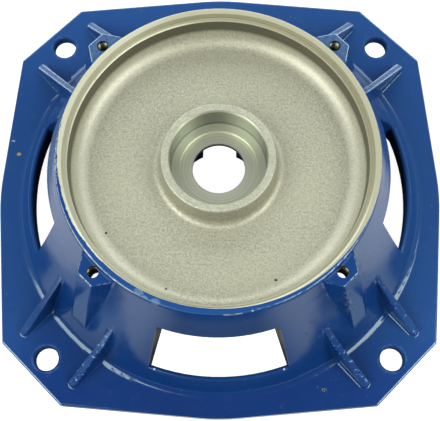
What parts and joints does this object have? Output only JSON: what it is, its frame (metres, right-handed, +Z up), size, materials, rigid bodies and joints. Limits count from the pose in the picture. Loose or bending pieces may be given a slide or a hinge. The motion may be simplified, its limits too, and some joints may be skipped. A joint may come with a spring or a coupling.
{
  "type": "pump lantern bracket",
  "caption": "Die-cast lantern bracket joining a pump to a motor: square drilled flange, flared wall with windows, shallow pan with a motor register, tapped ears and a central bearing hub.",
  "frame": {"origin": "on the axis of the shaft bore, at the underside of the square flange", "axes": "+Z up the bore axis from the flange to the motor rim; +X and +Y through the middles of the flange's sides and of the windows"},
  "size_m": [0.1742, 0.1742, 0.05],
  "materials": {
    "painted_casting": "semi-gloss blue paint on the outside, worn at the edges; bare blasted and machined aluminium inside the motor pan and on the rim"
  },
  "bodies": {
    "root": {"lantern_bracket": "painted_casting"}
  },
  "joints": []
}
